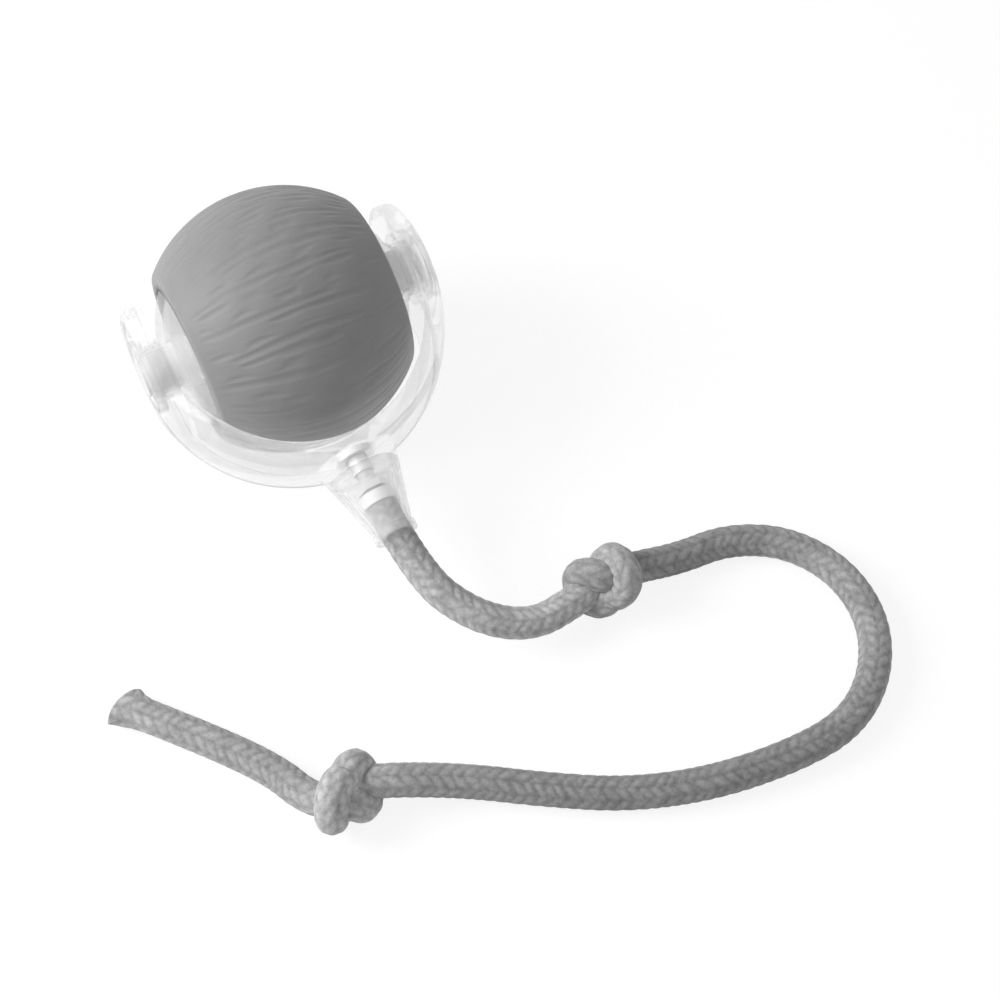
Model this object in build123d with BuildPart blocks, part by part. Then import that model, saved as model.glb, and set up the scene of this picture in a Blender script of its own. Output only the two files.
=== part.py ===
from build123d import *
from math import acos, atan2, cos, degrees, hypot, pi, radians, sin, sqrt, tan
import os

# Self rolling cat ball: a motor ball that spins in a clear yoke, with a knotted
# rope tail on a swivel. Millimetres, +Z up. The origin is where the ball touches
# the floor, the ball's axis lies along X and the rope leaves towards -Y.

# General sizes
overrun = 1.0
fit_gap = 0.05
running_gap = 0.08
piece_gap = 0.3

# Ball
ball_radius = 32.5
barrel_reach = 33.9
sleeve_thickness = 2.5
sleeve_half_width = 25.3
sleeve_rim_round = 0.9
shell_thickness = 2.0
seal_width = 1.2
tongue_thickness = 0.9
tongue_length = 3.0

# Hubs and axle caps
journal_recess = 0.65
journal_wall = 0.82
journal_gear_gap = 0.44
hub_wall = 1.2
hub_collar_step = 0.9
cap_overhang = 2.4
cap_thickness = 2.3
cap_proud = 0.15
cap_chamfer = 0.5
journal_stop_thickness = 1.5

# Yoke
ear_gap = 1.03
ear_thickness = 5.6
ear_radius = 16.8
ear_margin = 1.83
ear_outer_bend = 8.0
ear_inner_bend = 5.0
yoke_gap = 6.6
yoke_wall = 3.4
yoke_side_gap = 0.15
strap_half_width = 10.2
yoke_outer_round = 2.4
yoke_inner_round = 0.7
neck_root_radius = 10.6
neck_end_radius = 9.1
neck_length = 5.9
neck_droop = 10.0

# Swivel and rope sleeve
pin_head_radius = 4.6
pin_head_height = 1.6
pin_radius = 2.6
pin_thread_radius = 2.2
nut_radius = 3.9
nut_height = 1.8
sleeve_gap = 0.2
sleeve_top_wall = 3.2
sleeve_wall = 1.5
sleeve_length = 15.7
sleeve_end_radius = 5.0
lip_radius = 5.5
lip_length = 1.8
rope_bore_length = 5.2

# Rope
rope_diameter = 8.0
rope_bore_gap = 0.1
rope_end_gap = 1.0
rope_anchor_length = 5.2
crimp_length = 3.0
crimp_thickness = 0.6

# Overhand knots: the cord pulls thin in them. Each has a core of three strands
# and two loops that wrap them, one towards each end of the knot.
knot_cord_diameter = 4.9
knot_core_radius = 3.1
knot_loop_radius = 7.0
knot_reach = 6.5
knot_exit = 9.5
knot_steps = 11
knot_wrap_share = 0.75
knot_turn = 246.0
knot_exit_turn = -22.0
knot_lag_share = 0.13
knot_flare_share = 0.6
knot_margin = 2.0
gap_step = 0.25

# Rope route: its first bend lies straight out from the sleeve. Then come
# hand-placed corners in the part's frame, and for each knot the middle's x and
# y, its heading and its roll in degrees.
rope_straight = 10.7
rope_lead_points = [(7.6, -85.9, 14.6), (19.6, -92.6, 9.6)]
near_knot_place = (42.6, -90.9, 4.0, 270.0)
rope_middle_points = [
    (61.3, -91.4, 5.0),
    (74.9, -92.0, 4.0),
    (87.6, -99.3, 4.0),
    (95.0, -112.4, 4.0),
    (94.8, -127.3, 4.0),
    (87.0, -139.9, 4.0),
    (74.3, -147.4, 4.0),
    (57.5, -147.6, 4.0),
    (38.0, -144.4, 4.0),
    (20.0, -137.8, 4.0),
    (4.0, -127.9, 4.0),
    (-11.2, -117.7, 5.0),
]
far_knot_place = (-36.4, -107.6, 160.0, 90.0)
rope_tail_points = [(-52.6, -94.4, 5.6), (-63.5, -76.0, 4.0), (-73.2, -63.6, 4.0)]

# Gears
drive_teeth = 36
small_teeth = 12
large_teeth = 26
pinion_teeth = 10
gear_face = 2.5
small_gear_face = 3.2
gear_start = 11.0
drive_gear_face = 2.8
gear_pin_radius = 0.75
shaft_radius = 0.75
gear_shell_gap = 2.078

# Carriage and what it holds
plate_thickness = 2.0
right_plate_face = 10.6
left_plate_face = 14.0
plate_gap = 2.07
plate_eye_radius = 9.0
plate_top = 2.0
deck_thickness = 1.0
motor_height = 10.0
motor_width = 12.0
motor_length = 15.0
motor_end_round = 1.5
battery_height = 5.6
battery_gap = 0.1
battery_round = 1.2
board_thickness = 1.0
board_width = 32.0
board_lift = 1.2
post_radius = 1.5
post_inset = 2.4
screw_radius = 0.8
screw_head_radius = 1.4
screw_head_height = 0.9
screw_length = 4.0
weight_gap = 0.9
weight_screw_radius = 1.0
weight_screw_head_radius = 1.9
weight_screw_head_height = 1.2
weight_screw_spread = 6.0
led_radius = 1.5
led_height = 1.8
chip_size = 5.0
chip_height = 1.0

# Power button and its switch
button_travel = 0.5
button_proud = 0.9
button_length = 3.4
button_crown = 0.3
switch_size = 5.0
switch_height = 2.0
switch_plunger_radius = 1.2
switch_plunger_height = 0.6

# Charging socket and its plug
socket_side_gap = 0.35
socket_height = 3.2
socket_wall = 0.3
socket_depth = 7.3
socket_tongue_gap = 0.8
socket_tongue_height = 0.7
socket_tongue_length = 4.4
socket_recess = 1.5
plug_depth = 4.0
plug_gap = 0.12

# A direction's X share above which it runs along the ball's axis
rim_share = 0.9

# The faceted gear tooth, as shares of the module and of the pitch
addendum_share = 0.9
dedendum_share = 1.25
root_width_share = 0.62
pitch_width_share = 0.44
tip_width_share = 0.2

os.makedirs("parts", exist_ok=True)

# Frames
ball_center = Vector(0, 0, ball_radius)
ball_plane = Plane(origin=ball_center, x_dir=(1, 0, 0), z_dir=(0, -1, 0))
ball_axis = Axis(ball_center, (1, 0, 0))
droop = radians(neck_droop)
ring_plane = Plane(origin=ball_center, x_dir=(1, 0, 0), z_dir=(0, -sin(droop), cos(droop)))
side_plane = Plane(origin=ball_center, x_dir=(0, cos(droop), sin(droop)), z_dir=(1, 0, 0))
neck_direction = Vector(0, -cos(droop), -sin(droop))
neck_axis = Axis(ball_center, neck_direction)


def across(x):
    """The plane square to the ball's axis at x, with local X along +Y and local Y up."""
    return Plane(origin=(x, 0, ball_radius), x_dir=(0, 1, 0), z_dir=(1, 0, 0))


def down_neck(distance):
    """The plane square to the neck's axis, at a distance from the ball's centre."""
    return Plane(origin=ball_center + neck_direction * distance, x_dir=(1, 0, 0), z_dir=neck_direction)


def block(low, high):
    """A rectangle between two opposite corners."""
    with Locations(((low[0] + high[0]) / 2, (low[1] + high[1]) / 2)):
        Rectangle(high[0] - low[0], high[1] - low[1])


def keep(low, high):
    """Keeps what lies between two opposite corners."""
    with Locations(((low[0] + high[0]) / 2, (low[1] + high[1]) / 2)):
        Rectangle(high[0] - low[0], high[1] - low[1], mode=Mode.INTERSECT)


def cut(low, high):
    """Cuts away what lies between two opposite corners."""
    with Locations(((low[0] + high[0]) / 2, (low[1] + high[1]) / 2)):
        Rectangle(high[0] - low[0], high[1] - low[1], mode=Mode.SUBTRACT)


def save(builder, name):
    """Labels a finished piece and writes it."""
    builder.part.label = name
    export_step(builder.part, f"parts/{name}.step")


# Radii and places that follow from the sizes above
shell_inset = sleeve_thickness + fit_gap
shell_radius = ball_radius - shell_inset
shell_reach = barrel_reach - shell_inset
inner_radius = shell_radius - shell_thickness
inner_reach = shell_reach - shell_thickness


def room_at(x):
    """The inner radius of the shells at a distance x from the middle of the ball."""
    return inner_radius * sqrt(1 - (x / inner_reach) ** 2)


# The gear module fills the room beside the large gear, and the large gear's tips
# leave the room for the journals.
gear_room = room_at(gear_start + gear_face) - gear_shell_gap
gear_module = gear_room / ((drive_teeth + small_teeth + large_teeth) / 2 + addendum_share)
journal_room = gear_module * ((drive_teeth + small_teeth - large_teeth) / 2 - addendum_share)
journal_radius = journal_room - journal_gear_gap
journal_bore_radius = journal_radius - journal_wall
hub_bore_radius = journal_radius + running_gap
hub_radius = hub_bore_radius + hub_wall
collar_radius = hub_radius + hub_collar_step
ear_bore_radius = hub_radius + running_gap
ear_inner_face = shell_reach * sqrt(1 - (collar_radius / shell_radius) ** 2) + ear_gap
ear_outer_face = ear_inner_face + ear_thickness
cap_radius = hub_radius + cap_overhang
cap_outer_face = ear_outer_face + cap_proud
cap_face = cap_outer_face - cap_thickness
cap_seat = cap_face - yoke_side_gap
collar_face = ear_inner_face - 2 * yoke_side_gap
journal_end = cap_outer_face - journal_recess
yoke_inner_reach = ball_radius + yoke_gap
yoke_outer_reach = yoke_inner_reach + yoke_wall
yoke_inner_side = ear_inner_face / sqrt(1 - ((ear_radius + ear_margin) / yoke_inner_reach) ** 2)
yoke_outer_side = yoke_inner_side + yoke_wall
neck_end = yoke_inner_reach + neck_length
rope_radius = rope_diameter / 2
knot_cord_radius = knot_cord_diameter / 2
tongue_outer_radius = inner_radius + tongue_thickness
drive_radius = gear_module * drive_teeth / 2
small_radius = gear_module * small_teeth / 2
large_radius = gear_module * large_teeth / 2
pinion_radius = gear_module * pinion_teeth / 2
small_gear_start = gear_start + gear_face + piece_gap
drive_gear_start = small_gear_start + (small_gear_face - drive_gear_face) / 2
gear_distance = drive_radius + small_radius
plate_radius = room_at(left_plate_face) - plate_gap
deck_top = plate_radius * sqrt(1 - (motor_height / plate_radius) ** 2) - deck_thickness
lower_deck_top = -deck_top + deck_thickness
upper_deck_bottom = lower_deck_top + motor_height + fit_gap
upper_deck_top = upper_deck_bottom + deck_thickness
motor_center = lower_deck_top + motor_height / 2
motor_drop = -motor_center
motor_reach = large_radius + pinion_radius
swing = degrees(acos((gear_distance**2 + motor_drop**2 - motor_reach**2) / (2 * gear_distance * motor_drop)))
gear_angle = -90 + swing
gear_place = (gear_distance * cos(radians(gear_angle)), gear_distance * sin(radians(gear_angle)))
motor_place = (0, motor_center)
motor_angle = degrees(acos((motor_reach**2 + gear_distance**2 - motor_drop**2) / (2 * motor_reach * gear_distance)))
motor_from_gear = gear_angle + 180 + motor_angle
tray_left = -left_plate_face + plate_thickness
tray_right = right_plate_face - plate_thickness
board_bottom = upper_deck_top + battery_height + board_lift
board_top = board_bottom + board_thickness
battery_width = board_width - 2 * (post_inset + post_radius + battery_gap)
weight_radius = room_at(tray_left) - weight_gap
socket_width = 2 * (journal_bore_radius - socket_side_gap)
socket_tongue_width = socket_width - 2 * (socket_wall + socket_tongue_gap)
plug_head_radius = journal_bore_radius - piece_gap

# Grip sleeve: the grey rubber barrel stretched over both shells
with BuildPart() as grip_sleeve:
    with BuildSketch(ball_plane) as grip_profile:
        Ellipse(barrel_reach, ball_radius)
        Ellipse(barrel_reach - sleeve_thickness, ball_radius - sleeve_thickness, mode=Mode.SUBTRACT)
        keep((-sleeve_half_width, 0), (sleeve_half_width, ball_radius))
        corners = grip_profile.vertices().group_by(Axis.X)
        rims = [corners[0].sort_by(Axis.Z)[-1], corners[-1].sort_by(Axis.Z)[-1]]
        fillet(rims, sleeve_rim_round)
    revolve(axis=ball_axis)
save(grip_sleeve, "grip_sleeve")


# Clear half shells, with a hub at each end of the ball's axis
def half_shell(side, hub_start):
    """One half shell's profile on the side -1 or 1, with its hub tube from hub_start outwards."""
    Ellipse(shell_reach, shell_radius)
    Ellipse(inner_reach, inner_radius, mode=Mode.SUBTRACT)
    ends = sorted([side * seal_width / 2, side * shell_reach])
    keep((ends[0], hub_bore_radius), (ends[1], shell_radius))
    ends = sorted([side * hub_start, side * collar_face])
    block((ends[0], hub_bore_radius), (ends[1], hub_radius))
    collar_start = inner_reach * sqrt(1 - (collar_radius / inner_radius) ** 2)
    ends = sorted([side * collar_start, side * collar_face])
    block((ends[0], hub_bore_radius), (ends[1], collar_radius))
    ends = sorted([side * collar_face, side * cap_face])
    block((ends[0], hub_bore_radius), (ends[1], hub_radius))


with BuildPart() as left_shell:
    with BuildSketch(ball_plane):
        half_shell(-1, sleeve_half_width)
        cut((-tongue_length - piece_gap, 0), (0, tongue_outer_radius + fit_gap))
    revolve(axis=ball_axis)
save(left_shell, "left_shell")

with BuildPart() as right_shell:
    with BuildSketch(ball_plane):
        half_shell(1, drive_gear_start)
        block((-tongue_length, tongue_outer_radius - tongue_thickness), (seal_width, tongue_outer_radius))
    revolve(axis=ball_axis)
save(right_shell, "right_shell")

# Seal ring between the two shells, on the tongue
with BuildPart() as seal_ring:
    with BuildSketch(ball_plane):
        half_seal = seal_width / 2 - fit_gap
        block((-half_seal, tongue_outer_radius + fit_gap), (half_seal, shell_radius))
    revolve(axis=ball_axis)
save(seal_ring, "seal_ring")


# Axle caps that keep the hubs in the yoke's ears
def axle_cap(side):
    """The ring profile of one axle cap."""
    ends = sorted([side * cap_face, side * (cap_face + cap_thickness)])
    block((ends[0], hub_bore_radius), (ends[1], cap_radius))


with BuildPart() as left_axle_cap:
    with BuildSketch(ball_plane):
        axle_cap(-1)
    revolve(axis=ball_axis)
    chamfer(left_axle_cap.edges().filter_by(GeomType.CIRCLE).group_by(Axis.X)[0], cap_chamfer)
save(left_axle_cap, "left_axle_cap")

with BuildPart() as right_axle_cap:
    with BuildSketch(ball_plane):
        axle_cap(1)
    revolve(axis=ball_axis)
    chamfer(right_axle_cap.edges().filter_by(GeomType.CIRCLE).group_by(Axis.X)[-1], cap_chamfer)
save(right_axle_cap, "right_axle_cap")

# Yoke: one clear moulding, curved round the ball, with two round ears, a strap
# that tapers from the ears' tangents towards the neck, and the neck
def yoke_face(side, reach, end, bend):
    """Half the section of a surface round the ball: an ellipse cut flat at both ends, with round corners."""
    with BuildSketch(ring_plane) as face:
        Ellipse(side, reach)
        keep((-end, -reach), (end, 0))
        fillet(face.vertices().group_by(Axis.Y)[0], bend)
    return face.sketch


strap_end = yoke_outer_reach + overrun
taper_reach = sqrt(strap_end**2 + strap_half_width**2)
taper_angle = atan2(strap_half_width, -strap_end) - acos(ear_radius / taper_reach)
taper_start = (ear_radius * cos(taper_angle), ear_radius * sin(taper_angle))


def rim_edges(solid, outer):
    """The edges that run along the yoke's outline, on its outer or its inner surface."""
    sides = solid.faces().filter_by(GeomType.CYLINDER)
    sides += solid.faces().filter_by(GeomType.PLANE).filter_by(lambda face: abs(face.normal_at().X) < rim_share)
    rims = []
    for edge in sides.edges():
        middle = edge @ 0.5 - ball_center
        beyond_inner = hypot(middle.X / yoke_middle_side, hypot(middle.Y, middle.Z) / yoke_middle_reach) > 1
        crosses = abs((edge % 0.5).X) > rim_share
        if beyond_inner == outer and not crosses:
            rims.append(edge)
    return rims


yoke_middle_side = (yoke_outer_side + yoke_inner_side) / 2
yoke_middle_reach = (yoke_outer_reach + yoke_inner_reach) / 2
with BuildPart() as yoke:
    add(yoke_face(yoke_outer_side, yoke_outer_reach, ear_outer_face, ear_outer_bend))
    revolve(axis=ball_axis)
    add(yoke_face(yoke_inner_side, yoke_inner_reach, ear_inner_face, ear_inner_bend))
    revolve(axis=ball_axis, mode=Mode.SUBTRACT)
    with BuildSketch(side_plane):
        with BuildLine():
            Polyline(
                (taper_start[0], taper_start[1]),
                (-strap_end, strap_half_width),
                (-strap_end, -strap_half_width),
                (taper_start[0], -taper_start[1]),
                close=True,
            )
        make_face()
        Circle(ear_radius)
    extrude(amount=strap_end, both=True, mode=Mode.INTERSECT)
    fillet(rim_edges(yoke, True), yoke_outer_round)
    fillet(rim_edges(yoke, False), yoke_inner_round)
    neck_base = yoke_inner_reach - yoke_wall / 4
    with BuildSketch(ring_plane):
        with BuildLine():
            Polyline(
                (0, -yoke_inner_reach - yoke_wall / 4),
                (neck_root_radius, -neck_base),
                (neck_root_radius, -yoke_inner_reach - yoke_wall / 2),
                (neck_end_radius, -neck_end),
                (0, -neck_end),
                close=True,
            )
        make_face()
    revolve(axis=neck_axis)
    with BuildSketch(down_neck(yoke_inner_reach - yoke_wall)):
        Circle(pin_head_radius + piece_gap)
    extrude(amount=yoke_wall + pin_head_height + piece_gap, mode=Mode.SUBTRACT)
    with BuildSketch(down_neck(yoke_inner_reach)):
        Circle(pin_radius + running_gap)
    extrude(amount=neck_end - yoke_inner_reach + overrun, mode=Mode.SUBTRACT)
    with BuildSketch(across(-ear_outer_face - overrun)):
        Circle(ear_bore_radius)
    extrude(amount=2 * (ear_outer_face + overrun), mode=Mode.SUBTRACT)
    for side in (-1, 1):
        with BuildSketch(across(side * cap_seat)):
            Circle(cap_radius + piece_gap)
        extrude(amount=side * (ear_outer_face - cap_seat + overrun), mode=Mode.SUBTRACT)
save(yoke, "yoke")

# Swivel pin: its head sits in the strap and its thread holds the rope sleeve
pin_head_start = yoke_inner_reach + piece_gap - running_gap
pin_shoulder = neck_end + sleeve_gap
with BuildPart() as swivel_pin:
    with BuildSketch(down_neck(pin_head_start)):
        Circle(pin_head_radius)
    extrude(amount=pin_head_height)
    with BuildSketch(down_neck(pin_head_start)):
        Circle(pin_radius)
    extrude(amount=pin_shoulder - pin_head_start)
    with BuildSketch(down_neck(pin_shoulder)):
        Circle(pin_thread_radius)
    extrude(amount=sleeve_top_wall + nut_height)
save(swivel_pin, "swivel_pin")

# Rope sleeve: the clear hollow cone that the rope leaves through
sleeve_start = neck_end + sleeve_gap
sleeve_end = sleeve_start + sleeve_length + lip_length
cavity_start = sleeve_start + sleeve_top_wall
bore_start = sleeve_end - rope_bore_length
rope_bore_radius = rope_radius + rope_bore_gap
with BuildPart() as rope_sleeve:
    with BuildSketch(ring_plane):
        with BuildLine():
            Polyline(
                (pin_thread_radius + fit_gap, -sleeve_start),
                (neck_end_radius, -sleeve_start),
                (sleeve_end_radius, -sleeve_start - sleeve_length),
                (lip_radius, -sleeve_start - sleeve_length),
                (lip_radius, -sleeve_end),
                (rope_bore_radius, -sleeve_end),
                (rope_bore_radius, -bore_start),
                (neck_end_radius - 2 * sleeve_wall, -cavity_start),
                (pin_thread_radius + fit_gap, -cavity_start),
                close=True,
            )
        make_face()
    revolve(axis=neck_axis)
save(rope_sleeve, "rope_sleeve")

# Nut on the swivel pin, inside the sleeve
with BuildPart() as swivel_nut:
    with BuildSketch(down_neck(cavity_start)):
        RegularPolygon(nut_radius, 6)
        Circle(pin_thread_radius + fit_gap, mode=Mode.SUBTRACT)
    extrude(amount=nut_height)
save(swivel_nut, "swivel_nut")


# Gears
def gear_outline(teeth, phase):
    """A gear's faceted outline, with the middle of one tooth at the phase angle in degrees."""
    pitch_radius = gear_module * teeth / 2
    radii = [
        pitch_radius - dedendum_share * gear_module,
        pitch_radius,
        pitch_radius + addendum_share * gear_module,
    ]
    widths = [root_width_share, pitch_width_share, tip_width_share]
    points = []
    for tooth in range(teeth):
        middle = radians(phase + 360 * tooth / teeth)
        for side in (-1, 1):
            steps = range(3) if side == -1 else range(2, -1, -1)
            for step in steps:
                angle = middle + side * pi * widths[step] / teeth
                points.append((radii[step] * cos(angle), radii[step] * sin(angle)))
    return points


def gear_face_at(teeth, phase, place):
    """A gear's face centred on a place in the open sketch."""
    with Locations(place):
        Polygon(*gear_outline(teeth, phase), align=None)


gear_to_axis = gear_angle + 180
small_phase = gear_to_axis + 180 / small_teeth
pinion_phase = motor_from_gear + 180 + 180 / pinion_teeth

# Drive gear, fixed on the right shell's hub tube
with BuildPart() as drive_gear:
    with BuildSketch(across(drive_gear_start)):
        gear_face_at(drive_teeth, gear_angle, (0, 0))
        Circle(hub_radius + fit_gap, mode=Mode.SUBTRACT)
    extrude(amount=drive_gear_face)
save(drive_gear, "drive_gear")

# Compound gear: a large and a small gear in one piece, on its pin
with BuildPart() as compound_gear:
    with BuildSketch(across(gear_start)):
        gear_face_at(large_teeth, motor_from_gear, gear_place)
    extrude(amount=gear_face)
    with BuildSketch(across(gear_start + gear_face)):
        with Locations(gear_place):
            Circle(small_radius - dedendum_share * gear_module)
    extrude(amount=piece_gap)
    with BuildSketch(across(small_gear_start)):
        gear_face_at(small_teeth, small_phase, gear_place)
    extrude(amount=small_gear_face)
    with BuildSketch(across(gear_start)):
        with Locations(gear_place):
            Circle(gear_pin_radius + running_gap)
    extrude(amount=gear_face + piece_gap + small_gear_face, mode=Mode.SUBTRACT)
save(compound_gear, "compound_gear")

# Motor shaft and pinion
with BuildPart() as motor_pinion:
    with BuildSketch(across(gear_start)):
        gear_face_at(pinion_teeth, pinion_phase, motor_place)
        with Locations(motor_place):
            Circle(shaft_radius + fit_gap, mode=Mode.SUBTRACT)
    extrude(amount=gear_face)
save(motor_pinion, "motor_pinion")

with BuildPart() as motor_shaft:
    with BuildSketch(across(tray_right - plate_thickness)):
        with Locations(motor_place):
            Circle(shaft_radius)
    extrude(amount=gear_start + gear_face + piece_gap - tray_right + plate_thickness)
save(motor_shaft, "motor_shaft")

# Gear pin, pressed into the carriage's right plate
with BuildPart() as gear_pin:
    with BuildSketch(across(tray_right)):
        with Locations(gear_place):
            Circle(gear_pin_radius)
    extrude(amount=small_gear_start + small_gear_face + piece_gap - tray_right)
save(gear_pin, "gear_pin")


# Carriage: the pendulum frame that hangs on the two journals
def plate_outline():
    """A lower half disc with a round eye on the axis."""
    Circle(plate_radius)
    keep((-plate_radius, -plate_radius), (plate_radius, plate_top))
    Circle(plate_eye_radius)


post_places = [
    (x, y)
    for x in (tray_left + post_inset, tray_right - post_inset)
    for y in (-board_width / 2 + post_inset, board_width / 2 - post_inset)
]
upper_deck_width = 2 * sqrt(plate_radius**2 - upper_deck_bottom**2) - 2 * deck_thickness
lower_deck_width = 2 * sqrt(plate_radius**2 - (lower_deck_top - deck_thickness) ** 2)
tray_middle = (tray_left + tray_right) / 2
tray_length = tray_right - tray_left


def tray_level(height):
    """The level plane at a height above the ball's axis, centred between the plates."""
    return Plane(origin=(tray_middle, 0, ball_radius + height))


with BuildPart() as carriage:
    with BuildSketch(across(tray_right)):
        plate_outline()
    extrude(amount=plate_thickness)
    with BuildSketch(across(-left_plate_face)):
        plate_outline()
    extrude(amount=plate_thickness)
    with BuildSketch(tray_level(lower_deck_top - deck_thickness)):
        Rectangle(tray_length, lower_deck_width)
    extrude(amount=deck_thickness)
    with BuildSketch(tray_level(upper_deck_bottom)):
        Rectangle(tray_length, upper_deck_width)
    extrude(amount=deck_thickness)
    with BuildSketch(Plane(origin=(0, 0, ball_radius + upper_deck_top))):
        with Locations(*post_places):
            Circle(post_radius)
    extrude(amount=board_bottom - upper_deck_top)
    with BuildSketch(across(right_plate_face)):
        Circle(journal_radius)
    extrude(amount=journal_end - right_plate_face)
    with BuildSketch(across(-journal_end)):
        Circle(journal_radius)
    extrude(amount=journal_end - left_plate_face)
    with BuildSketch(across(tray_right)):
        with Locations(gear_place):
            Circle(gear_pin_radius + fit_gap)
        with Locations(motor_place):
            Circle(shaft_radius + piece_gap)
    extrude(amount=plate_thickness, mode=Mode.SUBTRACT)
    socket_start = journal_end - socket_recess - socket_depth
    with BuildSketch(across(socket_start)):
        Circle(journal_bore_radius)
    extrude(amount=socket_depth + socket_recess, mode=Mode.SUBTRACT)
    with BuildSketch(across(right_plate_face)):
        Circle(journal_bore_radius)
    extrude(amount=socket_start - journal_stop_thickness - right_plate_face, mode=Mode.SUBTRACT)
    button_inner = journal_end + button_proud - button_length
    switch_face = button_inner - button_travel - switch_plunger_height - fit_gap
    switch_back = switch_face - switch_height
    with BuildSketch(across(-journal_end)):
        Circle(journal_bore_radius)
    extrude(amount=journal_end - switch_back, mode=Mode.SUBTRACT)
    with BuildSketch(across(-switch_back + journal_stop_thickness)):
        Circle(journal_bore_radius)
    extrude(amount=switch_back - journal_stop_thickness - left_plate_face, mode=Mode.SUBTRACT)
    with BuildSketch(Plane(origin=(0, 0, ball_radius + board_bottom))):
        with Locations(*post_places):
            Circle(screw_radius + fit_gap)
    extrude(amount=-screw_length, mode=Mode.SUBTRACT)
    with BuildSketch(Plane(origin=(tray_middle, 0, ball_radius + lower_deck_top))):
        with Locations((-weight_screw_spread, 0), (weight_screw_spread, 0)):
            Circle(weight_screw_radius + fit_gap)
    extrude(amount=-deck_thickness, mode=Mode.SUBTRACT)
save(carriage, "carriage")

# Motor can between the two decks, with its shaft hole
with BuildPart() as drive_motor:
    with BuildSketch(across(tray_right - motor_length)) as can:
        with Locations(motor_place):
            RectangleRounded(motor_width, motor_height, motor_end_round)
    extrude(amount=motor_length)
    with BuildSketch(across(tray_right - plate_thickness - piece_gap)):
        with Locations(motor_place):
            Circle(shaft_radius + running_gap)
    extrude(amount=plate_thickness + piece_gap, mode=Mode.SUBTRACT)
save(drive_motor, "drive_motor")

# Battery on the upper deck
with BuildPart() as battery:
    with BuildSketch(tray_level(upper_deck_top)):
        RectangleRounded(tray_length - 2 * piece_gap, battery_width, battery_round)
    extrude(amount=battery_height)
save(battery, "battery")

# Circuit board on the four posts, with its controller chip
with BuildPart() as circuit_board:
    with BuildSketch(tray_level(board_bottom)):
        Rectangle(tray_length - 2 * piece_gap, board_width)
    extrude(amount=board_thickness)
    with BuildSketch(tray_level(board_top)):
        Rectangle(chip_size, chip_size)
    extrude(amount=chip_height)
    with BuildSketch(Plane(origin=(0, 0, ball_radius + board_bottom))):
        with Locations(*post_places):
            Circle(screw_radius + fit_gap)
    extrude(amount=board_thickness, mode=Mode.SUBTRACT)
save(circuit_board, "circuit_board")

# Indicator lights on the board
light_places = [(0, -board_width / 4), (0, board_width / 4)]
with BuildPart() as indicator_lights:
    with BuildSketch(tray_level(board_top)):
        with Locations(*light_places):
            Circle(led_radius)
    extrude(amount=led_height)
    fillet(indicator_lights.edges().group_by(Axis.Z)[-1], led_radius / 2)
save(indicator_lights, "indicator_lights")

# Four board screws
with BuildPart() as board_screws:
    with BuildSketch(Plane(origin=(0, 0, ball_radius + board_top))):
        with Locations(*post_places):
            Circle(screw_head_radius)
    extrude(amount=screw_head_height)
    with BuildSketch(Plane(origin=(0, 0, ball_radius + board_top))):
        with Locations(*post_places):
            Circle(screw_radius)
    extrude(amount=-screw_length)
save(board_screws, "board_screws")

# Balance weight under the lower deck
weight_top = lower_deck_top - deck_thickness
weight_depth = sqrt(weight_radius**2 - weight_top**2)
with BuildPart() as balance_weight:
    with BuildSketch(across(tray_left)):
        Circle(weight_radius)
        keep((-weight_depth, -weight_radius), (weight_depth, weight_top))
    extrude(amount=tray_length)
    with BuildSketch(Plane(origin=(tray_middle, 0, ball_radius - weight_radius))):
        with Locations((-weight_screw_spread, 0), (weight_screw_spread, 0)):
            Circle(weight_screw_radius + fit_gap)
    extrude(amount=weight_radius + weight_top, mode=Mode.SUBTRACT)
    with BuildSketch(Plane(origin=(tray_middle, 0, ball_radius - weight_radius))):
        with Locations((-weight_screw_spread, 0), (weight_screw_spread, 0)):
            Circle(weight_screw_head_radius + fit_gap)
    extrude(amount=weight_screw_head_height, mode=Mode.SUBTRACT)
save(balance_weight, "balance_weight")

# Two screws that hold the weight
with BuildPart() as weight_screws:
    head_top = ball_radius - weight_radius + weight_screw_head_height
    with BuildSketch(Plane(origin=(tray_middle, 0, head_top))):
        with Locations((-weight_screw_spread, 0), (weight_screw_spread, 0)):
            Circle(weight_screw_head_radius)
    extrude(amount=-weight_screw_head_height + fit_gap)
    with BuildSketch(Plane(origin=(tray_middle, 0, head_top))):
        with Locations((-weight_screw_spread, 0), (weight_screw_spread, 0)):
            Circle(weight_screw_radius)
    extrude(amount=ball_radius + lower_deck_top - fit_gap - head_top)
save(weight_screws, "weight_screws")

# Tact switch at the bottom of the left journal's bore
with BuildPart() as tact_switch:
    with BuildSketch(across(-switch_back)):
        RectangleRounded(switch_size, switch_size, switch_plunger_height)
    extrude(amount=-switch_height)
    with BuildSketch(across(-switch_face)):
        Circle(switch_plunger_radius)
    extrude(amount=-switch_plunger_height)
save(tact_switch, "tact_switch")

# Power button in the left journal
with BuildPart() as power_button:
    with BuildSketch(across(-button_inner)):
        Circle(journal_bore_radius - running_gap)
    extrude(amount=-button_length)
    fillet(power_button.edges().group_by(Axis.X)[0], button_crown)
save(power_button, "power_button")

# Charging socket in the right journal
with BuildPart() as usb_socket:
    with BuildSketch(across(socket_start)):
        SlotOverall(socket_width, socket_height)
    extrude(amount=socket_depth)
    with BuildSketch(across(socket_start + socket_height / 2)):
        SlotOverall(socket_width - 2 * socket_wall, socket_height - 2 * socket_wall)
    extrude(amount=socket_depth, mode=Mode.SUBTRACT)
    with BuildSketch(across(socket_start + socket_height / 2)):
        Rectangle(socket_tongue_width, socket_tongue_height)
    extrude(amount=socket_tongue_length)
save(usb_socket, "usb_socket")

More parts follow.
